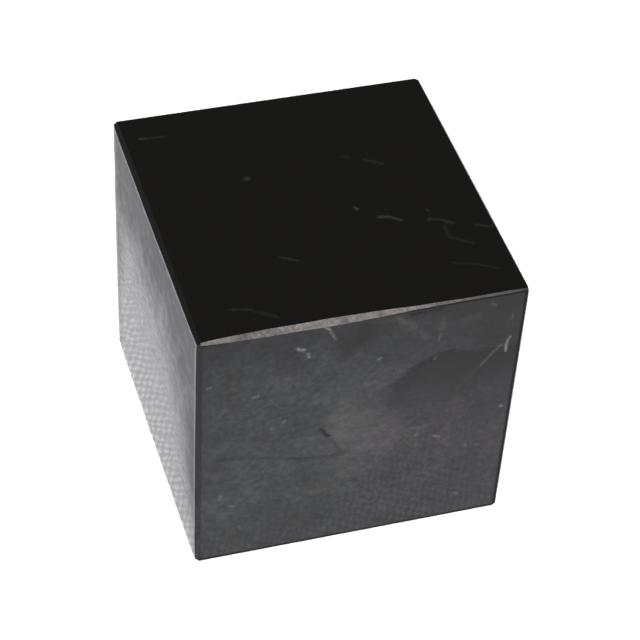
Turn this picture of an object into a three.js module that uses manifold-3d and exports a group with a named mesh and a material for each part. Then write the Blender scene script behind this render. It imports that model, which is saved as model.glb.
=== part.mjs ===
// A polished cube of shungite: one block of black stone, sawn nearly square, polished on all six faces,
// with its arrises and corners ground off by hand. Millimetres, +Z up. The origin is the middle of the
// face that it rests on, the front face looks along -Y and the right face along +X.
import * as THREE from 'three';
import { mergeVertices } from 'three/addons/utils/BufferGeometryUtils.js';
import Module from 'manifold-3d';

// Driving dimensions
const edge = 50;
const width = edge;
const depth = edge + 0.2;
const height = edge - 0.85;
const sawAllowance = 3; // left on every side of the rough block for the saw to take off
const cornerDepth = 0.65; // how far each corner is knocked off, along its diagonal
const plainLeg = 0.4; // how far the grinding of an arris runs into the two faces that meet there

// The three arrises that were ground wider than the rest: how far into the faces at the start and the end
const wideLegs = {
  'front top': [0.85, 0.3], // from the left end to the right end
  'left front': [0.85, 0.85], // from the bottom end to the top end
  'top left': [0.85, 0.85], // from the front end to the back end
};

// The six sawn faces: the way each looks, how far it lies from the middle of the block, and how much its
// outward normal leans out of square, in degrees
const faces = {
  left: { outward: [-1, 0, 0], reach: width / 2, lean: [0, -0.6, -0.6] },
  right: { outward: [1, 0, 0], reach: width / 2, lean: [0, 0.65, 0.35] },
  front: { outward: [0, -1, 0], reach: depth / 2, lean: [-0.55, 0, -0.3] },
  back: { outward: [0, 1, 0], reach: depth / 2, lean: [0.65, 0, -0.05] },
  bottom: { outward: [0, 0, -1], reach: height / 2, lean: [0, 0, 0] },
  top: { outward: [0, 0, 1], reach: height / 2, lean: [-0.2, -0.05, 0] },
};
const facePairs = [['left', 'right'], ['front', 'back'], ['bottom', 'top']];

// Polished black stone
const polishedStone = new THREE.MeshStandardMaterial({
  color: 0x1b1a1b,
  roughness: 0.18,
  metalness: 0,
  flatShading: true,
});

const wasm = await Module();
wasm.setup();

// The plane of a sawn face, leaning about the face's middle
function facePlane({ outward, reach, lean }) {
  const middle = new THREE.Vector3(...outward).multiplyScalar(reach);
  const turn = new THREE.Vector3(...lean).multiplyScalar(THREE.MathUtils.DEG2RAD);
  const normal = new THREE.Vector3(...outward).add(turn).normalize();
  return new THREE.Plane().setFromNormalAndCoplanarPoint(normal, middle);
}

const planes = Object.fromEntries(Object.entries(faces).map(([name, face]) => [name, facePlane(face)]));

// The sharp corner where three faces would meet
function sharpCorner(...names) {
  const [a, b, c] = names.map((name) => planes[name]);
  const bc = b.normal.clone().cross(c.normal);
  const ca = c.normal.clone().cross(a.normal);
  const ab = a.normal.clone().cross(b.normal);
  const span = a.normal.dot(bc);
  return bc.multiplyScalar(-a.constant)
    .addScaledVector(ca, -b.constant)
    .addScaledVector(ab, -c.constant)
    .divideScalar(span);
}

// The way that leads along one face, square to its arris with another face, into the stone
function awayFromArris(alongFace, otherFace) {
  const along = planes[alongFace].normal;
  const other = planes[otherFace].normal;
  return along.clone().multiplyScalar(along.dot(other)).sub(other).normalize();
}

// The plane that takes off an arris, from a leg at its start to another at its end
function arrisPlane(faceA, faceB, startFace, endFace, [startLeg, endLeg]) {
  const start = sharpCorner(faceA, faceB, startFace);
  const end = sharpCorner(faceA, faceB, endFace);
  const alongA = awayFromArris(faceA, faceB);
  const alongB = awayFromArris(faceB, faceA);
  const plane = new THREE.Plane().setFromCoplanarPoints(
    start.clone().addScaledVector(alongA, startLeg),
    start.clone().addScaledVector(alongB, startLeg),
    end.clone().addScaledVector(alongA, endLeg),
  );
  return plane.distanceToPoint(start) > 0 ? plane : plane.negate();
}

// The plane that knocks off a corner, square to its diagonal
function cornerPlane(...names) {
  const normal = new THREE.Vector3();
  names.forEach((name) => normal.add(planes[name].normal));
  normal.normalize();
  const point = sharpCorner(...names).addScaledVector(normal, -cornerDepth);
  return new THREE.Plane().setFromNormalAndCoplanarPoint(normal, point);
}

// A closed solid from a geometry, with its shared vertices merged
function solidFrom(geometry) {
  geometry.deleteAttribute('normal');
  geometry.deleteAttribute('uv');
  const merged = mergeVertices(geometry);
  const vertProperties = new Float32Array(merged.attributes.position.array);
  const triVerts = new Uint32Array(merged.index.array);
  return new wasm.Manifold(new wasm.Mesh({ numProp: 3, vertProperties, triVerts }));
}

// What lies outside a plane, as a block large enough to take everything there off the stone
function offcut(plane) {
  const size = 3 * edge;
  const up = new THREE.Vector3(0, 0, 1);
  const block = new THREE.BoxGeometry(size, size, size);
  block.translate(0, 0, size / 2);
  block.applyQuaternion(new THREE.Quaternion().setFromUnitVectors(up, plane.normal));
  const onPlane = plane.coplanarPoint(new THREE.Vector3());
  block.translate(onPlane.x, onPlane.y, onPlane.z);
  return solidFrom(block);
}

// Every cut, in the order of the work: the faces, then the arrises, then the corners
function allCuts() {
  const cuts = Object.values(planes);
  facePairs.forEach(([startFace, endFace], run) => {
    for (const faceA of facePairs[(run + 1) % 3]) {
      for (const faceB of facePairs[(run + 2) % 3]) {
        const legs = wideLegs[`${faceA} ${faceB}`] ?? [plainLeg, plainLeg];
        cuts.push(arrisPlane(faceA, faceB, startFace, endFace, legs));
      }
    }
  });
  const [sides, ends, levels] = facePairs;
  for (const side of sides) {
    for (const end of ends) {
      for (const level of levels) {
        cuts.push(cornerPlane(side, end, level));
      }
    }
  }
  return cuts;
}

// The finished stone, with the middle of its bounding box over the origin and its bottom face at z = 0
function stoneGeometry() {
  const rough = new THREE.BoxGeometry(
    width + 2 * sawAllowance,
    depth + 2 * sawAllowance,
    height + 2 * sawAllowance,
  );
  const stone = allCuts().reduce((solid, plane) => solid.subtract(offcut(plane)), solidFrom(rough));
  const { vertProperties, triVerts } = stone.getMesh();
  const geometry = new THREE.BufferGeometry();
  geometry.setAttribute('position', new THREE.BufferAttribute(vertProperties, 3));
  geometry.setIndex(new THREE.BufferAttribute(triVerts, 1));
  geometry.computeBoundingBox();
  const { min, max } = geometry.boundingBox;
  geometry.translate(-(min.x + max.x) / 2, -(min.y + max.y) / 2, -min.z);
  return geometry;
}

const shungiteCube = new THREE.Mesh(stoneGeometry(), polishedStone);
shungiteCube.name = 'shungite_cube';

const stone = new THREE.Group();
stone.add(shungiteCube);

export default stone;
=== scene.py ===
import math
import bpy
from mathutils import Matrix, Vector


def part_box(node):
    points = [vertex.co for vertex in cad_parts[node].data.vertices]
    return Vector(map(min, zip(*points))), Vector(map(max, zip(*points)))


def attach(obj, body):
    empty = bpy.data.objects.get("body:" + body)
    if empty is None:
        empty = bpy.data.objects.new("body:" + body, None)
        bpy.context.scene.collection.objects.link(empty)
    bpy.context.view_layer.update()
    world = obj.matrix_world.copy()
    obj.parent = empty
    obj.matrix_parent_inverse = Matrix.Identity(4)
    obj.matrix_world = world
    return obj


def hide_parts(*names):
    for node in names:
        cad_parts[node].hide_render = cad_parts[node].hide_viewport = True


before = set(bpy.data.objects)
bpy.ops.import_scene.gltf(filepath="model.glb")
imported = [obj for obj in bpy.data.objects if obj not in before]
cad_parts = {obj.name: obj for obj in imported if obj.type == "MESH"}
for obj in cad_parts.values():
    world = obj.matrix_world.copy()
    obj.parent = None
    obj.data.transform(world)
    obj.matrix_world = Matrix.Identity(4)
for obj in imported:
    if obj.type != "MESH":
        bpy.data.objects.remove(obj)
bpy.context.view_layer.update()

from types import SimpleNamespace

import bmesh
import bpy
import numpy as np
from mathutils import Quaternion, Vector, noise

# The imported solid. Lengths are metres, and the marks further down are millimetres in its frame

MM = 0.001
STONE = "shungite_cube"
low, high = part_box(STONE)
middle = (low + high) / 2

# The ways that faces look

FRONT = (0, -1, 0)
BACK = (0, 1, 0)
RIGHT = (1, 0, 0)
TOP = (0, 0, 1)
BOTTOM = (0, 0, -1)
FACING = 0.9                 # normals with a cosine above this between them look the same way
SLANTED = 0.3                # a part of a normal under this comes only from the lean of the faces

# Marks on the polished faces, in millimetres: the points along each line, its width and its strength

def fleck(across, up, length, slope, strength, width=0.4):
    """A short line about its middle."""
    half = Vector((math.cos(math.radians(slope)), math.sin(math.radians(slope)))) * length / 2
    return ((across - half.x, up - half.y), (across + half.x, up + half.y)), width, strength


FRONT_FLECKS = (
    fleck(-9.5, 44.4, 1.0, -25, 0.8, 0.55),
    fleck(-8.3, 42.9, 0.8, -75, 0.6),
    fleck(-23.0, 39.6, 0.5, 15, 0.3, 0.45),
    fleck(-15.9, 36.1, 0.5, 10, 0.35, 0.5),
    fleck(-11.3, 29.6, 0.4, 50, 0.35),
    fleck(-13.1, 28.4, 0.4, 75, 0.35),
    fleck(2.7, 39.7, 0.5, 40, 0.4),
    fleck(11.8, 42.0, 1.4, 80, 0.2, 0.35),
    fleck(11.5, 37.8, 0.4, 60, 0.35, 0.35),
    fleck(23.0, 43.8, 0.6, 80, 0.2, 0.35),
    fleck(19.7, 47.0, 0.6, -40, 0.2),
    fleck(23.4, 24.3, 0.4, -30, 0.55),
    fleck(13.4, 20.0, 1.0, -25, 0.45),
    fleck(10.1, 21.2, 0.5, 20, 0.25),
    fleck(18.4, 16.6, 0.5, -50, 0.25),
    fleck(20.4, 16.3, 0.5, 10, 0.2),
    fleck(-20.7, 14.7, 0.9, 80, 0.2, 0.5),
    fleck(-18.8, 12.2, 0.5, -20, 0.4),
    fleck(-17.5, 6.9, 0.6, -60, 0.2),
    fleck(17.9, 5.3, 0.6, -40, 0.4),
    fleck(5.6, 46.9, 1.0, -50, 0.15, 0.8),
    fleck(6.9, 45.7, 1.6, -35, 0.12, 1.3),
    fleck(9.2, 43.2, 1.8, -60, 0.08, 1.2),
    fleck(12.0, 44.6, 1.5, 75, 0.08, 1.0),
    fleck(16.3, 44.9, 2.0, 20, 0.06, 1.2),
    (((21.8, 38.1), (20.3, 36.3), (19.0, 34.5)), 0.4, 0.24),
    (((19.0, 34.5), (17.4, 32.2), (15.5, 30.0)), 0.45, 0.04),
    (((23.0, 39.5), (22.6, 38.0), (22.7, 36.6)), 0.34, 0.8),
    (((-6.1, 48.3), (-5.4, 47.6)), 0.35, 0.9),
    (((-5.4, 47.6), (-4.4, 45.4)), 0.35, 0.35),
)
ARCH = (                     # the arched border of the flake scar, from left to right
    (3.4, 32.4),
    (5.8, 34.6),
    (7.9, 36.2),
    (10.1, 37.6),
    (12.2, 38.5),
    (14.1, 38.8),
    (16.2, 37.9),
    (18.7, 37.6),
    (20.2, 38.2),
)
FRONT_CRACKS = (
    (((-6.9, 31.9), (-5.5, 26.6)), 0.8, 0.35),
    (((-5.5, 26.4), (-4.2, 24.6)), 0.85, 0.8),
    (((-4.2, 24.6), (-2.9, 22.2), (-1.9, 20.0)), 0.85, 0.5),
    (((-21.6, 23.7), (-16.0, 22.8), (-11.0, 21.3)), 0.75, 0.42),
    (((-11.0, 21.3), (-7.2, 20.3), (-1.9, 20.0)), 0.85, 0.58),
    (ARCH[:3], 0.8, 0.5),
    (ARCH[2:6], 1.0, 0.65),
    (ARCH[5:], 0.9, 0.5),
    # painted shadow: this dark line runs along the lower border of the pale arris, kept among the cracks
    (((7.0, 47.9), (11.5, 48.1)), 0.7, 0.7),
    fleck(1.3, 11.8, 0.3, 0, 0.7, 0.5),
    (((10.9, 10.3), (16.5, 7.5)), 0.45, 0.2),
)
TOP_DASHES = (
    (((-22.3, 20.2), (-21.6, 20.1)), 0.4, 0.13),
    (((-21.6, 20.1), (-18.6, 19.9)), 0.4, 0.07),
    (((-8.9, 7.3), (-8.6, 7.4)), 0.7, 0.11),
    (((7.1, 8.8), (8.0, 8.4)), 0.4, 0.07),
    (((10.0, 7.4), (12.3, 6.0)), 0.4, 0.07),
    (((5.3, -2.7), (5.5, -3.1)), 0.4, 0.26),
    (((8.1, -5.5), (9.6, -5.8), (11.2, -6.9)), 0.45, 0.16),
    (((15.8, -5.6), (15.9, -6.0)), 0.4, 0.08),
    (((15.3, -7.8), (16.8, -8.1), (18.6, -9.4)), 0.45, 0.09),
    (((17.1, -9.6), (17.1, -12.1), (20.0, -14.2)), 0.5, 0.05),
    (((22.0, -10.6), (24.0, -11.4)), 0.45, 0.07),
    (((-8.7, -10.4), (-6.2, -11.8)), 0.35, 0.09),
    (((-18.6, -19.2), (-15.4, -20.0)), 0.35, 0.07),
    (((-15.2, -20.4), (-12.3, -22.2)), 0.5, 0.05),
    (((15.9, -17.6), (18.9, -18.5), (22.1, -20.3)), 0.35, 0.05),
)
STREWN_REACH = 22            # how far from the middle of a hidden face its flecks lie
STREWN_LENGTHS = (0.3, 1.6)
STREWN_SLOPES = (-80, 80)
STREWN_STRENGTHS = (0.08, 0.35)
STREWN_WIDTHS = (0.35, 0.7)


def strewn(seed, count, up):
    """Flecks strewn over a face that the photo doesn't show, about a middle at this height."""
    chance = np.random.default_rng(seed)
    found = []
    for _ in range(count):
        across, rise = chance.uniform(-STREWN_REACH, STREWN_REACH, 2)
        length = chance.uniform(*STREWN_LENGTHS)
        slope = chance.uniform(*STREWN_SLOPES)
        strength = chance.uniform(*STREWN_STRENGTHS)
        width = chance.uniform(*STREWN_WIDTHS)
        found.append(fleck(across, up + rise, length, slope, strength, width))
    return tuple(found)


LIGHT_MARKS = {              # the way each face looks, and its flecks and scratches
    FRONT: FRONT_FLECKS,
    TOP: TOP_DASHES,
    RIGHT: strewn(seed=5, count=14, up=middle.z / MM),
    BACK: strewn(seed=8, count=14, up=middle.z / MM),
    BOTTOM: strewn(seed=13, count=12, up=0),
}
DARK_MARKS = {FRONT: FRONT_CRACKS}

# Shape of the polished stone

GRID_CUTS = 84               # cuts across each face for the fine mesh
GRID_CROWDING = 1.1          # how much closer the mesh lines lie towards the arrises, in radians of a sine
EDGE_FALL = 0.06 * MM        # how far polishing has worn a face down at its border
EDGE_REACH = 1.6 * MM        # how far in from the border that wear fades out
CROWN = 0.06 * MM            # how much lower the border of a face lies than its middle
WAVER = 0.5                  # how unevenly the wear runs along an arris, as a share of it
WAVER_LENGTH = 6 * MM
WAVER_SEED = 3
RIPPLE = 0.003 * MM          # slow waves that the polishing left in the faces
RIPPLE_LENGTH = 8 * MM
RIPPLE_SEED = 11
SEED_SHIFT = (1, 2.3, -1.7)  # how far apart the noises of two neighbouring seeds are read
SCAR_DEPTH = 0.03 * MM       # shallow flake scar on the front face, deepest under its arched border
SCAR_STEP = 0.5 * MM         # how far below the border it reaches its full depth
SCAR_FADE = (1 * MM, 13 * MM)         # it rises back to the face between these distances below the border
SCAR_LEFT = (3 * MM, 6 * MM)          # and between these places at its left end
GRIND_DEEPER = 0.06 * MM     # arrises are ground this much deeper than the solid's, to meet the worn faces
LENS_LEG = 0.78 * MM         # how far the lens-shaped grinding of the front top arris runs into its faces
LENS_THIN = 0.32 * MM        # and how far it does beyond the ends of the lens
LENS_PEAK = -8 * MM          # where along the arris it is widest
LENS_REACHES = (21 * MM, 16 * MM)     # how far the lens runs to the left and to the right from there
PALE_HIGHLIGHT_ENDS = (4 * MM, 29 * MM)         # its pale colour, partly a painted highlight, fades out between these places
LENS_FACET = 0.8 * MM        # length of the short facets that it is made of
PLAIN_FACET = 4 * MM         # and of those of the other arrises
NEAR_CUT = 0.02              # a vertex this near a cut between facets is used for it, as a share of a facet
MARK_CUTS = 3                # cuts across each cell of the mesh that a mark runs through
MARK_REACH = 0.8 * MM        # cells are cut up this far from the line of a mark
RAGGED = 0.12 * MM           # how far the edge of a mark strays
RAGGED_LENGTH = 0.6 * MM
PATCHY_LENGTH = 0.3 * MM     # the length over which a mark comes and goes
PATCHY_LEVEL = 0.85          # how strong it is on the whole
PATCHY_SWING = 0.7           # and how much that changes
PIT_DEPTH = 0.02 * MM        # depth of the brightest fleck
CRACK_DEPTH = 0.05 * MM
HIDDEN_HAZE = 0.4            # haze on the faces that the photo doesn't show, as a share of the front's
SAME_PLACE = 0.001 * MM      # vertices of the solid this close together are one
SAME_PLANE = math.radians(1)          # and triangles that turn less than this are one flat face
ON_FACE = 0.0005 * MM        # vertices this close to a sawn face lie on it


def planes_of(node):
    """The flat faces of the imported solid, as (middle, outward normal): sawn faces, arrises and corners."""
    found = {1: [], 2: [], 3: []}
    bm = bmesh.new()
    bm.from_mesh(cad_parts[node].data)
    bmesh.ops.remove_doubles(bm, verts=bm.verts, dist=SAME_PLACE)
    bmesh.ops.dissolve_limit(bm, angle_limit=SAME_PLANE, verts=bm.verts, edges=bm.edges)
    for face in bm.faces:
        ways = sum(abs(part) > SLANTED for part in face.normal)
        found[ways].append((face.calc_center_median().copy(), face.normal.copy()))
    bm.free()
    return found[1], found[2], found[3]


def sharp_corner(faces, signs):
    """Where three sawn faces would meet, on the sides of the block that the signs give."""
    three = [
        next(face for face in faces if face[1][axis] * sign > FACING)
        for axis, sign in enumerate(signs)
    ]
    normals = np.array([normal for _, normal in three])
    reaches = [point.dot(normal) for point, normal in three]
    return np.linalg.solve(normals, reaches)


def fine_block(faces):
    """A block with the sawn faces and sharp arrises, in a mesh that is finest along the arrises."""
    bm = bmesh.new()
    bmesh.ops.create_cube(bm, size=2)
    bmesh.ops.subdivide_edges(bm, edges=bm.edges[:], cuts=GRID_CUTS, use_grid_fill=True)
    share = np.array([vert.co for vert in bm.verts])
    share = np.sin(share * GRID_CROWDING) / math.sin(GRID_CROWDING)
    places = np.zeros_like(share)
    for corner in np.ndindex(2, 2, 2):
        signs = 2 * np.array(corner) - 1
        weights = np.prod((1 + signs * share) / 2, axis=1)
        places += weights[:, None] * sharp_corner(faces, signs)
    return bm, places


def noise_at(places, length, seed):
    """Smooth noise from -1 to 1 at each place, with waves of about this length."""
    shift = Vector([part * seed for part in SEED_SHIFT])
    return np.array([noise.noise(Vector(place) / length + shift) for place in places])


def wear(inset, half_width):
    """How far a polished face has worn down at this distance in from one of its borders."""
    crown = np.clip(1 - inset / half_width, 0, 1) ** 2
    return EDGE_FALL * np.exp(-inset / EDGE_REACH) + CROWN * crown


def polish(places, faces):
    """Wears the faces down towards their borders, and ripples them, always into the stone.

    Gives the worn places, and how far in from the nearest arris each one lies."""
    insets = np.array([(np.array(point) - places) @ np.array(normal) for point, normal in faces])
    half_width = min(high - low) / 2
    uneven = 1 + WAVER * noise_at(places, WAVER_LENGTH, WAVER_SEED)
    ripple = RIPPLE * (1 + noise_at(places, RIPPLE_LENGTH, RIPPLE_SEED))
    worn = places.copy()
    for number, (_, normal) in enumerate(faces):
        on_face = insets[number] < ON_FACE
        borders = [k for k, (_, other) in enumerate(faces) if abs(other.dot(normal)) < SLANTED]
        depth = sum(wear(insets[k], half_width) for k in borders) * uneven + ripple
        worn[on_face] -= depth[on_face, None] * np.array(normal)
    return worn, np.sort(insets, axis=0)[1]


def lines_of(marks):
    """Each mark's straight runs, as arrays: starts, ends, widths and strengths."""
    runs = [
        (start, end, width, strength)
        for points, width, strength in marks
        for start, end in zip(points, points[1:])
    ]
    starts, ends, widths, strengths = (np.array(column) for column in zip(*runs))
    return starts * MM, ends * MM, widths * MM, strengths


def gaps_to(spots, starts, ends):
    """The distance of every spot on a face from every straight run."""
    reach = ends - starts
    away = spots[:, None, :] - starts[None, :, :]
    share = np.clip((away * reach).sum(axis=2) / (reach ** 2).sum(axis=1), 0, 1)
    return np.linalg.norm(away - share[:, :, None] * reach, axis=2)


def spots_on(way, places):
    """Places on a face as two numbers each, without their depth along the way that the face looks."""
    kept = [axis for axis in range(3) if way[axis] == 0]
    return np.array(places)[:, kept]


def faces_towards(bm, way):
    return [face for face in bm.faces if face.normal.dot(Vector(way)) > FACING]


def each_once(parts):
    """The parts in their order, each of them once."""
    return list(dict.fromkeys(parts))


def verts_towards(bm, way):
    return each_once(vert for face in faces_towards(bm, way) for vert in face.verts)


def cut_up(bm, way, marks):
    """Cuts the mesh of a face finer where marks run."""
    faces = faces_towards(bm, way)
    starts, ends, _, _ = lines_of(marks)
    spots = spots_on(way, [face.calc_center_median() for face in faces])
    gaps = gaps_to(spots, starts, ends).min(axis=1)
    edges = each_once(edge for face, gap in zip(faces, gaps) if gap < MARK_REACH for edge in face.edges)
    bmesh.ops.subdivide_edges(bm, edges=edges, cuts=MARK_CUTS, use_grid_fill=True)


def carve(bm, way, marks, layer, depth):
    """Carves the marks of a face into it, and keeps how strong each is at every vertex."""
    verts = verts_towards(bm, way)
    strays = [noise.noise_vector(vert.co / RAGGED_LENGTH) * RAGGED for vert in verts]
    spots = spots_on(way, [vert.co + stray for vert, stray in zip(verts, strays)])
    starts, ends, widths, strengths = lines_of(marks)
    near = np.clip(1 - gaps_to(spots, starts, ends) / widths, 0, 1)
    strength = (near * near * (3 - 2 * near) * strengths).max(axis=1)
    for vert, amount in zip(verts, strength):
        patchy = PATCHY_LEVEL + PATCHY_SWING * noise.noise(vert.co / PATCHY_LENGTH)
        vert[layer] = amount * patchy
        vert.co -= Vector(way) * vert[layer] * depth


def mark_faces(bm):
    """Cuts every mark into the polished faces."""
    kinds = (("fleck", PIT_DEPTH, LIGHT_MARKS), ("crack", CRACK_DEPTH, DARK_MARKS))
    for name, _, _ in kinds:
        bm.verts.layers.float.new(name)
    for name, depth, marked in kinds:
        layer = bm.verts.layers.float[name]
        for way, marks in marked.items():
            cut_up(bm, way, marks)
            carve(bm, way, marks, layer, depth)
        bm.normal_update()


def climb(value, start, end):
    """Goes smoothly from 0 to 1 while the value goes from start to end."""
    share = min(max((value - start) / (end - start), 0), 1)
    return share * share * (3 - 2 * share)


def scar_share(place):
    """How deep the flake scar on the front face is at a place, as a share of its full depth."""
    border = np.interp(place.x / MM, *zip(*ARCH)) * MM
    below = border - place.z
    return climb(below, 0, SCAR_STEP) * (1 - climb(below, *SCAR_FADE)) * climb(place.x, *SCAR_LEFT)


def flake(bm):
    """Sinks the flake scar into the front face, and keeps how deep it is at every vertex."""
    layer = bm.verts.layers.float.new("scar")
    for vert in verts_towards(bm, FRONT):
        vert[layer] = scar_share(vert.co)
        vert.co -= Vector(FRONT) * vert[layer] * SCAR_DEPTH
    bm.normal_update()


def slice_across(bm, faces, along, length):
    """Cuts a long ground face across into short facets."""
    reaches = [vert.co.dot(along) for face in faces for vert in face.verts]
    for reach in np.arange(min(reaches) + length, max(reaches), length):
        parts = each_once(part for face in faces for part in (face, *face.edges, *face.verts))
        cut = bmesh.ops.bisect_plane(
            bm,
            geom=parts,
            dist=NEAR_CUT * length,
            plane_co=along * float(reach),
            plane_no=along,
        )
        faces = [part for part in cut["geom"] if isinstance(part, bmesh.types.BMFace)]


def grind(bm, plane, length):
    """Cuts the stone off at a plane, and closes the cut with a ground face in facets of this length."""
    point, normal = plane
    cut = bmesh.ops.bisect_plane(
        bm,
        geom=bm.verts[:] + bm.edges[:] + bm.faces[:],
        plane_co=point,
        plane_no=normal,
        clear_outer=True,
    )["geom_cut"]
    rim = [part for part in cut if isinstance(part, bmesh.types.BMEdge)]
    closing = bmesh.ops.edgeloop_fill(bm, edges=rim)["faces"]
    for face in closing:
        if face.normal.dot(normal) < 0:
            face.normal_flip()
        face.material_index = 1
    flattest = min(range(3), key=lambda axis: abs(normal[axis]))
    if abs(normal[flattest]) < SLANTED:
        along = Vector([float(axis == flattest) for axis in range(3)])
        slice_across(bm, closing, along, length)


def deeper(plane):
    """A plane of the solid, moved to where the worn faces need it."""
    point, normal = plane
    return point - normal * GRIND_DEEPER, normal


def lens_depth(place):
    """How much shallower the grinding of the front top arris is at a place than where it is widest."""
    reach = LENS_REACHES[0] if place.x < LENS_PEAK else LENS_REACHES[1]
    share = min(abs(place.x - LENS_PEAK) / reach, 1)
    return (LENS_LEG - LENS_THIN) / math.sqrt(2) * share ** 2


def grind_lens(bm, faces):
    """Grinds the front top arris to a long lens: the stone is bent away from a flat cut, and then back."""
    ends = [Vector(sharp_corner(faces, (side, -1, 1))) for side in (-1, 1)]
    along = (ends[1] - ends[0]).normalized()
    normal = Vector((0, -1, 1))
    normal = (normal - along * normal.dot(along)).normalized()
    worn = math.sqrt(2) * (EDGE_FALL + CROWN)
    for vert in bm.verts:
        vert.co -= normal * lens_depth(vert.co)
    grind(bm, (ends[0] - normal * (LENS_LEG / math.sqrt(2) + worn), normal), LENS_FACET)
    for vert in bm.verts:
        vert.co += normal * lens_depth(vert.co)
    bm.normal_update()


def is_front_top(normal):
    return normal.y < -SLANTED and normal.z > SLANTED and abs(normal.x) < SLANTED


def pale_highlight_share(place):
    """How pale the front top arris is at a place along it: partly its ground finish, partly a painted
    highlight.
    """
    return 1 - climb(place.x, *PALE_HIGHLIGHT_ENDS)


def haze_share(normal):
    """How hazed a polished face is: the front fully, the top and the left not, the hidden ones lightly."""
    if normal.y < -FACING:
        return 1.0
    if normal.z > FACING or normal.x < -FACING:
        return 0.0
    return HIDDEN_HAZE


def mark_finishes(bm):
    """Says how hazed each polished facet is, which ones are on the left, and how pale each ground one is.

    The ground faces keep crisp borders."""
    hazed = bm.faces.layers.float.new("hazed")
    left = bm.faces.layers.float.new("left")
    pale = bm.loops.layers.float.new("pale")
    for face in bm.faces:
        face.smooth = True
        if face.material_index == 0:
            face[hazed] = haze_share(face.normal)
            face[left] = float(face.normal.x < -FACING)
            continue
        for edge in face.edges:
            edge.smooth = all(other.normal.dot(face.normal) > FACING for other in edge.link_faces)
        # pale colour of the front top arris, partly a painted highlight of the light it catches
        if is_front_top(face.normal):
            for corner in face.loops:
                corner[pale] = pale_highlight_share(corner.vert.co)


def polished_stone():
    """The stone: sawn, polished, and with its arrises and corners ground off."""
    faces, arrises, corners = planes_of(STONE)
    bm, places = fine_block(faces)
    inset = bm.verts.layers.float.new("inset")
    for vert, place, gap in zip(bm.verts, *polish(places, faces)):
        vert.co = place
        vert[inset] = gap
    bm.normal_update()
    mark_faces(bm)
    flake(bm)
    grind_lens(bm, faces)
    for plane in arrises + corners:
        if not is_front_top(plane[1]):
            grind(bm, deeper(plane), PLAIN_FACET)
    mark_finishes(bm)
    mesh = bpy.data.meshes.new("polished_shungite")
    bm.to_mesh(mesh)
    bm.free()
    piece = bpy.data.objects.new("polished_shungite", mesh)
    bpy.context.scene.collection.objects.link(piece)
    return piece


# Helpers for the finishes

CLOUD_MIDDLE = 0.5           # a cloudy noise lies about this
SPREAD = 0.25                # and most of it is within this of it
NARROW_SPREAD = 0.2
WIDE_SPREAD = 0.3
SOFT_DETAIL = 2.0            # detail of a soft noise


def feed(tree, socket, value):
    """Links an output to a socket, or sets the socket to a plain value."""
    if isinstance(value, bpy.types.NodeSocket):
        tree.links.new(value, socket)
    else:
        socket.default_value = value


def add(tree, kind, inputs=None, **settings):
    """A new node with these settings and inputs."""
    node = tree.nodes.new(kind)
    for name, value in settings.items():
        setattr(node, name, value)
    for name, value in (inputs or {}).items():
        feed(tree, node.inputs[name], value)
    return node


def joined(tree, operation, *values):
    """The values joined two by two with one arithmetic operation."""
    total = values[0]
    for value in values[1:]:
        total = add(tree, "ShaderNodeMath", {0: total, 1: value}, operation=operation).outputs[0]
    return total


def product(tree, *values):
    return joined(tree, "MULTIPLY", *values)


def vector(tree, operation, *values, output="Vector"):
    return add(tree, "ShaderNodeVectorMath", dict(enumerate(values)), operation=operation).outputs[output]


def scaled(tree, way, factor):
    inputs = {0: way, "Scale": factor}
    return add(tree, "ShaderNodeVectorMath", inputs, operation="SCALE").outputs["Vector"]


def ramp(tree, value, start, end, first=0.0, last=1.0, kind="SMOOTHSTEP"):
    """Changes from the first level to the last while the value goes from start to end."""
    steps = {"Value": value, "From Min": start, "From Max": end, "To Min": first, "To Max": last}
    return add(tree, "ShaderNodeMapRange", steps, interpolation_type=kind).outputs["Result"]


def slope(tree, value, start, end, first=0.0, last=1.0):
    """The same in a straight line."""
    return ramp(tree, value, start, end, first, last, "LINEAR")


def swing(tree, clouds, levels, spread=SPREAD, kind="SMOOTHSTEP"):
    """Goes from the first level to the second as a cloudy noise rises."""
    return ramp(tree, clouds, CLOUD_MIDDLE - spread, CLOUD_MIDDLE + spread, *levels, kind)


def blend(tree, share, first, second):
    """One colour turning into another as the share goes from 0 to 1."""
    node = add(tree, "ShaderNodeMix", data_type="RGBA")
    feed(tree, node.inputs[0], share)
    feed(tree, node.inputs[6], first)
    feed(tree, node.inputs[7], second)
    return node.outputs[2]


def cloud(tree, place, size, detail=3.0, roughness=0.5):
    """Cloudy noise around its middle, with clouds of about this size."""
    inputs = {"Vector": place, "Scale": 1 / size, "Detail": detail, "Roughness": roughness}
    return add(tree, "ShaderNodeTexNoise", inputs).outputs["Fac"]


def stretched(tree, place, factors):
    return vector(tree, "MULTIPLY", place, factors)


def attribute(tree, name):
    return add(tree, "ShaderNodeAttribute", attribute_name=name).outputs["Fac"]


def oval(tree, place, spot):
    """How far a place on the front face lies from the middle of an oval, as a share of its two radii."""
    (across, up), (wide, tall) = spot
    away = vector(tree, "SUBTRACT", place, (across * MM, 0, up * MM))
    away = vector(tree, "MULTIPLY", away, (1 / (wide * MM), 0, 1 / (tall * MM)))
    return vector(tree, "LENGTH", away, output="Value")


def new_material(name):
    material = bpy.data.materials.new(name)
    material.use_nodes = True
    material.node_tree.nodes.clear()
    return material, material.node_tree


def finish(tree, inputs):
    """Ends a material with one shader."""
    shader = add(tree, "ShaderNodeBsdfPrincipled", inputs)
    add(tree, "ShaderNodeOutputMaterial", {"Surface": shader.outputs["BSDF"]})


# Patterns in the polished stone

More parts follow.
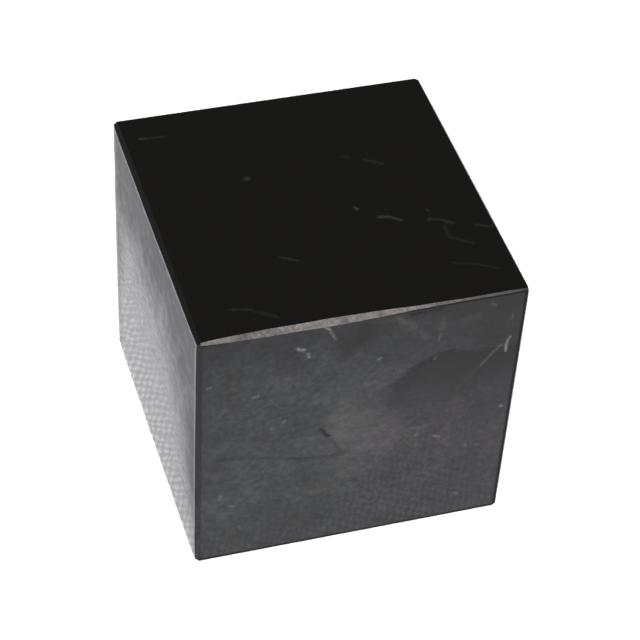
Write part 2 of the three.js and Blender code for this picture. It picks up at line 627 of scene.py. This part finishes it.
MOTTLE = (7 * MM, 4.0, 0.6)           # slow clouds: their size, detail and roughness
STREAKS = (2.0 * MM, 4.0, 0.65)       # clouds that are drawn out across the front face
STREAK_STRETCH = (0.7, 1, 1)
FINE_GRAIN = (0.9 * MM, 4.0, 0.65)
SHADED_ROUGH_RIM = (1.3 * MM, 0.5 * MM)       # insets between which the rim of a hazed face grows rough and loses its haze, its darker colour a painted shade
PAINTED_REFLECTION_OVAL = ((0.5, 25), (9, 14))   # an oval on the front face where painted reflection lightens the haze, in millimetres: its middle and its radii
PAINTED_REFLECTION_EDGE = (1.2, 0.0)               # the painted reflection grows between these shares of its radii
STRAY_LENGTH = 5 * MM                 # the borders of ovals stray over this length
STRAY_REACH = 7 * MM                  # and this far at most, from side to side
WAVE_LENGTH = 2.2 * MM                # faint waves in the polish
WAVE_HEIGHT = 0.009 * MM
STONE_IOR = 1.33


def stone_patterns(tree):
    """What the finish of the polished stone is worked out from: places, noises, and marks in the mesh."""
    place = add(tree, "ShaderNodeTexCoord").outputs["Object"]
    x, y, z = add(tree, "ShaderNodeSeparateXYZ", {"Vector": place}).outputs
    inputs = {"Vector": place, "Scale": 1 / STRAY_LENGTH, "Detail": SOFT_DETAIL}
    stray = add(tree, "ShaderNodeTexNoise", inputs).outputs["Color"]
    stray = vector(tree, "SUBTRACT", stray, 3 * (CLOUD_MIDDLE,))
    on = SimpleNamespace(place=place, x=x, y=y, z=z)
    on.strayed = vector(tree, "ADD", place, scaled(tree, stray, STRAY_REACH))
    on.mottle = cloud(tree, place, *MOTTLE)
    on.streaky = cloud(tree, stretched(tree, place, STREAK_STRETCH), *STREAKS)
    on.fine = cloud(tree, place, *FINE_GRAIN)
    for name in ("hazed", "left", "fleck", "crack", "inset", "scar"):
        setattr(on, name, attribute(tree, name))
    # rim of the hazed faces: rougher, and darker in colour as painted shade of the shadowed floor mirrored at
    # the borders
    on.rim = product(tree, ramp(tree, on.inset, *SHADED_ROUGH_RIM), on.hazed)
    # painted reflection: the middle of the front face is lighter in colour, standing in for the bright floor
    # mirrored there
    on.glow = ramp(tree, oval(tree, on.strayed, PAINTED_REFLECTION_OVAL), *PAINTED_REFLECTION_EDGE)
    return on


# Colour of the polished stone: nearly black, under a haze on the front face that is partly painted reflection
# and painted shade

BLACK_STONE = (0.0082, 0.0078, 0.0071)
FLECK_GREY = (0.21, 0.22, 0.22, 1)
CRACK_BLACK = (0.001, 0.001, 0.001, 1)
COOL_CAST = (0.88, 1.02, 1.14, 1)     # casts of the haze
NO_CAST = (1.0, 1.0, 1.0, 1)
PURPLE_CAST = (1.01, 0.93, 1.12, 1)
OLIVE_CAST = (1.04, 1.02, 0.92, 1)
PURPLE_START = (0, 9 * MM)            # the haze turns purple between these places across the face
PURPLE_STRAY = 6 * MM                 # and that border strays this far
PURPLE_TOP = (42 * MM, 34 * MM)       # it does so below these heights
OLIVE_SIZE = 4 * MM
OLIVE_CLOUDS = (0.5, 0.66)            # where the clouds of the olive patches begin, and are full
OLIVE_SHARE = 0.6
HAZE = (0.016, 0.030)                 # the thinnest and the thickest slow clouds of the haze
HAZE_STREAKS = (0.65, 1.35)           # its share in the streaks
HAZE_GRAIN = (0.5, 1.5)               # and in the fine grain
HAZE_TOP_SHADE = (50 * MM, 36 * MM, 0.3)    # painted shade: heights where it is thin and where it is full, and its thin share
# painted shade at the foot of the front face: heights where the haze is thin and where it is full, and its
# thin share
HAZE_FOOT_SHADE = (0, 14 * MM, 0.6)
SHADED_CORNER = ((24, 38), (15, 20))    # ovals in which painted shade thins it too
SHADED_CORNER_EDGE = (0.2, 1.2, 0.4)           # shares of their radii where it is thin and full, and its thin share
SMOKY_SPOT = ((-0.5, 44.5), (4, 3.5))
SMOKY_EDGE = (0.3, 1.2, 0.1)
HAZE_IN_SHADED_RIM = 0.1                     # its share on the rim, where the darker colour is painted shade
HAZE_IN_SCAR_SHADE = 0.2                    # and in the flake scar, where the loss of haze is painted shade
HAZE_IN_PAINTED_REFLECTION = (0.016, 0.032)         # what the painted reflection in the middle of the face adds to it


def front_haze(tree, on):
    """Haze on the front face: cloudy, lightened in the middle by painted reflection, and thinned by painted
    shade at the top, the foot, the upper right and on the rim.
    """
    haze = product(
        tree,
        swing(tree, on.mottle, HAZE, NARROW_SPREAD),
        swing(tree, on.streaky, HAZE_STREAKS),
        swing(tree, on.fine, HAZE_GRAIN),
        slope(tree, on.z, *HAZE_TOP_SHADE),
        ramp(tree, on.z, *HAZE_FOOT_SHADE),
        ramp(tree, oval(tree, on.strayed, SHADED_CORNER), *SHADED_CORNER_EDGE),
        ramp(tree, oval(tree, on.strayed, SMOKY_SPOT), *SMOKY_EDGE),
    )
    # the painted reflection in the middle is added to the haze
    added = product(tree, on.glow, swing(tree, on.streaky, HAZE_IN_PAINTED_REFLECTION, WIDE_SPREAD))
    haze = joined(tree, "ADD", haze, added)
    # painted shade: the haze fades on the rim
    rim_shade = ramp(tree, on.rim, 0.0, 1.0, 1.0, HAZE_IN_SHADED_RIM)
    # painted shade inside the flake scar: less haze, so a darker colour
    scar_shade = ramp(tree, on.scar, 0.0, 1.0, 1.0, HAZE_IN_SCAR_SHADE)
    return product(tree, haze, on.hazed, product(tree, rim_shade, scar_shade))


def haze_cast(tree, on):
    """Cast of the haze: cool, none in the painted reflection in the middle, purple at the right and in the
    scar, olive in patches.
    """
    across = joined(tree, "ADD", on.x, swing(tree, on.mottle, (-PURPLE_STRAY, PURPLE_STRAY)))
    purple = product(tree, ramp(tree, across, *PURPLE_START), ramp(tree, on.z, *PURPLE_TOP))
    cast = blend(tree, on.glow, COOL_CAST, NO_CAST)
    cast = blend(tree, joined(tree, "MAXIMUM", purple, on.scar), cast, PURPLE_CAST)
    clouds = cloud(tree, on.strayed, OLIVE_SIZE, SOFT_DETAIL)
    olive = ramp(tree, clouds, *OLIVE_CLOUDS, 0.0, OLIVE_SHARE)
    return blend(tree, olive, cast, OLIVE_CAST)


def stone_colour(tree, on):
    hazy = scaled(tree, haze_cast(tree, on), front_haze(tree, on))
    colour = vector(tree, "ADD", hazy, BLACK_STONE)
    colour = blend(tree, on.fleck, colour, FLECK_GREY)
    return blend(tree, on.crack, colour, CRACK_BLACK)


# Gloss of the polished stone

DULL_UP = (14 * MM, 41 * MM)          # the left face grows dull between these heights
DULL_STRAY = 2.5 * MM                 # which stray this far
DULL_FORWARD = (2 * MM, -23 * MM)     # and between these places towards its front border
DULL_FOOT = (0, 16 * MM, 0.2, 1.05)   # less so at its foot: two heights, and the share at each
DULL_BACKWARD = (14 * MM, 26 * MM)    # and between these towards its back border
DULL_STREAKS = (0.85, 1.15)
GLOSSY_LINE = (1.1 * MM, 1.9 * MM)    # insets of a glossier line along the borders
GLOSSY_SHARE = 0.7                    # how dull that line is beside the rest
SPECK_SIZE = 0.4 * MM                 # soft matt specks, drawn out towards the back
SPECK_STRETCH = (1, 0.3, 1)
SPECK_CLOUDS = (0.29, 0.64)           # how much of the noise they take up, from the glossy to the dull end
SPECK_EDGE = 0.12                     # how soft their borders are
SPECK_ROUGHNESS = 0.25
MATT_START = 0.3                      # how dull the stone is where the specks begin to run together
MATT_ROUGHNESS = 0.37
POLISH_ROUGHNESS = (0.04, 0.07)
WORN_ROUGHNESS = 0.08                 # what wear adds on the front, outside an oval that kept its polish
KEPT_POLISH = ((7, 12), (13, 17))
WORN_EDGE = (0.4, 1.2)                # shares of its radii between which the wear grows full
SCAR_ROUGHNESS = 0.3
RIM_ROUGHNESS = 0.9
FLECK_ROUGHNESS = 0.55


def left_dullness(tree, on):
    """The left face grows duller towards its top, front and back borders."""
    stray = swing(tree, on.mottle, (-DULL_STRAY, DULL_STRAY), WIDE_SPREAD)
    upward = slope(tree, joined(tree, "ADD", on.z, stray), *DULL_UP)
    forward = slope(tree, on.y, *DULL_FORWARD)
    backward = slope(tree, on.y, *DULL_BACKWARD)
    forward = product(tree, forward, forward, slope(tree, on.z, *DULL_FOOT))
    sideways = joined(tree, "ADD", forward, product(tree, backward, backward))
    rest = slope(tree, upward, 0.0, 1.0, 1.0, 0.0)
    dull = joined(tree, "ADD", upward, product(tree, sideways, rest))
    dull = product(tree, dull, swing(tree, on.streaky, DULL_STREAKS))
    return product(tree, dull, on.left, ramp(tree, on.inset, *GLOSSY_LINE, GLOSSY_SHARE, 1.0))


def left_matt(tree, on):
    """It dulls by soft matt specks, which run together at last."""
    dull = left_dullness(tree, on)
    clouds = cloud(tree, stretched(tree, on.place, SPECK_STRETCH), SPECK_SIZE, SOFT_DETAIL)
    taken = slope(tree, dull, 0.0, 1.0, *SPECK_CLOUDS)
    inside = joined(tree, "SUBTRACT", taken, clouds)
    specks = ramp(tree, inside, -SPECK_EDGE, SPECK_EDGE, 0.0, SPECK_ROUGHNESS)
    return joined(tree, "MAXIMUM", specks, slope(tree, dull, MATT_START, 1.0, 0.0, MATT_ROUGHNESS))


def stone_roughness(tree, on):
    worn = ramp(tree, oval(tree, on.strayed, KEPT_POLISH), *WORN_EDGE, 0.0, WORN_ROUGHNESS)
    roughness = joined(
        tree,
        "ADD",
        swing(tree, on.mottle, POLISH_ROUGHNESS),
        product(tree, worn, on.hazed),
        product(tree, left_matt(tree, on), on.left),
        product(tree, on.scar, SCAR_ROUGHNESS),
    )
    return joined(
        tree,
        "MAXIMUM",
        roughness,
        product(tree, on.rim, RIM_ROUGHNESS),
        product(tree, on.fleck, FLECK_ROUGHNESS),
        on.crack,
    )


def shungite():
    """Near-black polished stone: a hazed front, a left face that grows dull, flecks, scratches and cracks."""
    material, tree = new_material("polished shungite")
    on = stone_patterns(tree)
    waves = cloud(tree, on.place, WAVE_LENGTH, SOFT_DETAIL)
    bump = add(tree, "ShaderNodeBump", {"Height": waves, "Strength": 1.0, "Distance": WAVE_HEIGHT})
    inputs = {
        "Base Color": stone_colour(tree, on),
        "Roughness": stone_roughness(tree, on),
        "IOR": STONE_IOR,
        "Normal": bump.outputs["Normal"],
    }
    finish(tree, inputs)
    return material


# Ground stone

GROUND_GRAIN = (0.5 * MM, 3.0, 0.6)   # its size, detail and roughness
GROUND_PATCHES = 4 * MM
PATCH_CLOUDS = (0.3, 0.6)             # where the clouds of the pale patches begin, and are full
PATCH_SHARES = (0.45, 1.0)
DARK_GROUND = ((0.002, 0.002, 0.002, 1), (0.005, 0.005, 0.005, 1))
# pale stone of the front top arris: partly its ground finish, partly a painted highlight
PALE_GROUND_AND_HIGHLIGHT = ((0.135, 0.120, 0.112, 1), (0.27, 0.25, 0.235, 1))
GROUND_ROUGHNESS = (0.06, 0.6)        # of the dark and of the pale stone
GROUND_BUMP = 0.02 * MM
GROUND_BUMP_STRENGTH = 0.3
GROUND_SPECULAR = 0.3
GROUND_IOR = 1.4


def ground_shungite():
    """The ground arrises and corners: dark and glossy, and pale and matt on the front top arris, whose
    paleness is partly a painted highlight.
    """
    material, tree = new_material("ground shungite")
    place = add(tree, "ShaderNodeTexCoord").outputs["Object"]
    grain = cloud(tree, place, *GROUND_GRAIN)
    patches = ramp(tree, cloud(tree, place, GROUND_PATCHES, SOFT_DETAIL), *PATCH_CLOUDS, *PATCH_SHARES)
    # share of pale stone, which is partly a painted highlight
    share = product(tree, attribute(tree, "pale"), patches)
    speckle = swing(tree, grain, (0.0, 1.0), NARROW_SPREAD)
    dark = blend(tree, speckle, *DARK_GROUND)
    pale = blend(tree, speckle, *PALE_GROUND_AND_HIGHLIGHT)
    bumps = {"Height": grain, "Strength": GROUND_BUMP_STRENGTH, "Distance": GROUND_BUMP}
    inputs = {
        "Base Color": blend(tree, share, dark, pale),
        "Roughness": ramp(tree, share, 0.0, 1.0, *GROUND_ROUGHNESS),
        "Specular IOR Level": GROUND_SPECULAR,
        "IOR": GROUND_IOR,
        "Normal": add(tree, "ShaderNodeBump", bumps).outputs["Normal"],
    }
    finish(tree, inputs)
    return material


# Floor

FLOOR_REACH = 4.0                     # metres from the middle of the floor to its borders
FLOOR_CELLS = 4
FLOOR_GREY = (0.05, 0.05, 0.05, 1)
FLOOR_ROUGHNESS = 0.9
FLOOR_GLOW = ((1.0, 0.985, 1.03, 1), (1.45, 1.43, 1.49, 1))
GRAIN_PITCHES = (1.0 * MM, 1.45 * MM)     # pitch of its fine grain, in two directions square to each other
GRAIN_TURN = 25                       # degrees that the grain is turned from the front of the stone
GRAIN_STRAY = 3.2                     # how far its rows stray, as a phase in radians
GRAIN_STRAY_LENGTH = 2.4 * MM
GRAIN_DEPTHS = (0.5, 1.3)             # how strong it is, at its weakest and at its strongest
GRAIN_DEPTH_LENGTH = 4 * MM           # the length over which that changes
GRAIN_RANGE = (-0.9, 1.7)             # its dimmest and its brightest level


def grain_rows(tree, place, number, pitch):
    """The uneven rows of the floor's grain in one of its two directions."""
    turn = math.radians(GRAIN_TURN + 90 * number)
    way = (math.cos(turn) * math.tau / pitch, math.sin(turn) * math.tau / pitch, 0)
    apart = vector(tree, "ADD", place, (0, 0, number))
    clouds = cloud(tree, apart, GRAIN_STRAY_LENGTH)
    uneven = swing(tree, clouds, (-GRAIN_STRAY, GRAIN_STRAY), WIDE_SPREAD, "LINEAR")
    phase = joined(tree, "ADD", vector(tree, "DOT_PRODUCT", place, way, output="Value"), uneven)
    return add(tree, "ShaderNodeMath", {0: phase}, operation="COSINE").outputs[0]


def pale_floor_finish():
    """Near-white floor, softly lit from within, with a fine grain that only the polished faces bring out."""
    material, tree = new_material("pale floor")
    place = add(tree, "ShaderNodeTexCoord").outputs["Object"]
    rows = [grain_rows(tree, place, number, pitch) for number, pitch in enumerate(GRAIN_PITCHES)]
    depth = swing(tree, cloud(tree, place, GRAIN_DEPTH_LENGTH), GRAIN_DEPTHS, NARROW_SPREAD)
    grain = product(tree, joined(tree, "ADD", *rows), depth)
    inputs = {
        "Base Color": FLOOR_GREY,
        "Roughness": FLOOR_ROUGHNESS,
        "Specular IOR Level": 0.0,
        "Emission Color": blend(tree, ramp(tree, grain, *GRAIN_RANGE), *FLOOR_GLOW),
        "Emission Strength": 1.0,
    }
    finish(tree, inputs)
    return material


def pale_floor():
    bm = bmesh.new()
    bmesh.ops.create_grid(bm, x_segments=FLOOR_CELLS, y_segments=FLOOR_CELLS, size=FLOOR_REACH)
    mesh = bpy.data.meshes.new("floor")
    bm.to_mesh(mesh)
    bm.free()
    mesh.materials.append(pale_floor_finish())
    floor = bpy.data.objects.new("floor", mesh)
    bpy.context.scene.collection.objects.link(floor)


# Light

KEY_LIGHT = ((-0.60, -0.25, 0.76), 2.0, 40)      # direction, strength, and width in degrees
FRONT_FILL = ((0.24, -0.62, 0.75), 1.2, 40)
HORIZON = (0.9, 0.9, 0.9, 1)
OVERHEAD = (0.09, 0.09, 0.09, 1)
OVERHEAD_START = 0.3                  # the sine of the height above the horizon where it is dim


def soft_light(name, direction, strength, spread):
    """A soft light that is far away in this direction, and this many degrees wide."""
    lamp = bpy.data.lights.new(name, "SUN")
    lamp.energy = strength
    lamp.angle = math.radians(spread)
    light = bpy.data.objects.new(name, lamp)
    light.rotation_mode = "QUATERNION"
    light.rotation_quaternion = (-Vector(direction)).to_track_quat("-Z", "Y")
    bpy.context.scene.collection.objects.link(light)


def studio():
    """Pale round the horizon and dim overhead, so that the top face stays dark."""
    world = bpy.data.worlds.new("studio")
    world.use_nodes = True
    tree = world.node_tree
    way = add(tree, "ShaderNodeTexCoord").outputs["Generated"]
    up = add(tree, "ShaderNodeSeparateXYZ", {"Vector": way}).outputs["Z"]
    colour = blend(tree, ramp(tree, up, 0.0, OVERHEAD_START), HORIZON, OVERHEAD)
    tree.links.new(colour, tree.nodes["Background"].inputs["Color"])
    bpy.context.scene.world = world


# Camera

VIEW_AZIMUTH = -19.78        # degrees from looking along +Y, to the left of the front face
VIEW_ELEVATION = 44.82
VIEW_ROLL = 4.30
VIEW_DISTANCE = 358.4 * MM
VIEW_OFFSET = Vector((1.75, -0.89, -0.25)) * MM    # from the middle of the stone to the middle of the picture
LENS = 127.64
SENSOR_WIDTH = 36
CLIP_START = 10 * MM


def camera():
    data = bpy.data.cameras.new("camera")
    data.lens = LENS
    data.sensor_width = SENSOR_WIDTH
    data.clip_start = CLIP_START
    seen_from = bpy.data.objects.new("camera", data)
    turn = math.radians(VIEW_AZIMUTH)
    rise = math.radians(VIEW_ELEVATION)
    back = Vector((math.sin(turn) * math.cos(rise), -math.cos(turn) * math.cos(rise), math.sin(rise)))
    seen_from.location = middle + VIEW_OFFSET + back * VIEW_DISTANCE
    seen_from.rotation_mode = "QUATERNION"
    roll = Quaternion((0, 0, 1), math.radians(VIEW_ROLL))
    seen_from.rotation_quaternion = (-back).to_track_quat("-Z", "Y") @ roll
    bpy.context.scene.collection.objects.link(seen_from)
    bpy.context.scene.camera = seen_from


camera()
stone = polished_stone()
stone.data.materials.append(shungite())
stone.data.materials.append(ground_shungite())
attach(stone, "root")
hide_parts(STONE)

pale_floor()
soft_light("key", *KEY_LIGHT)
soft_light("front fill", *FRONT_FILL)
studio()
bpy.context.scene.view_settings.view_transform = "Standard"
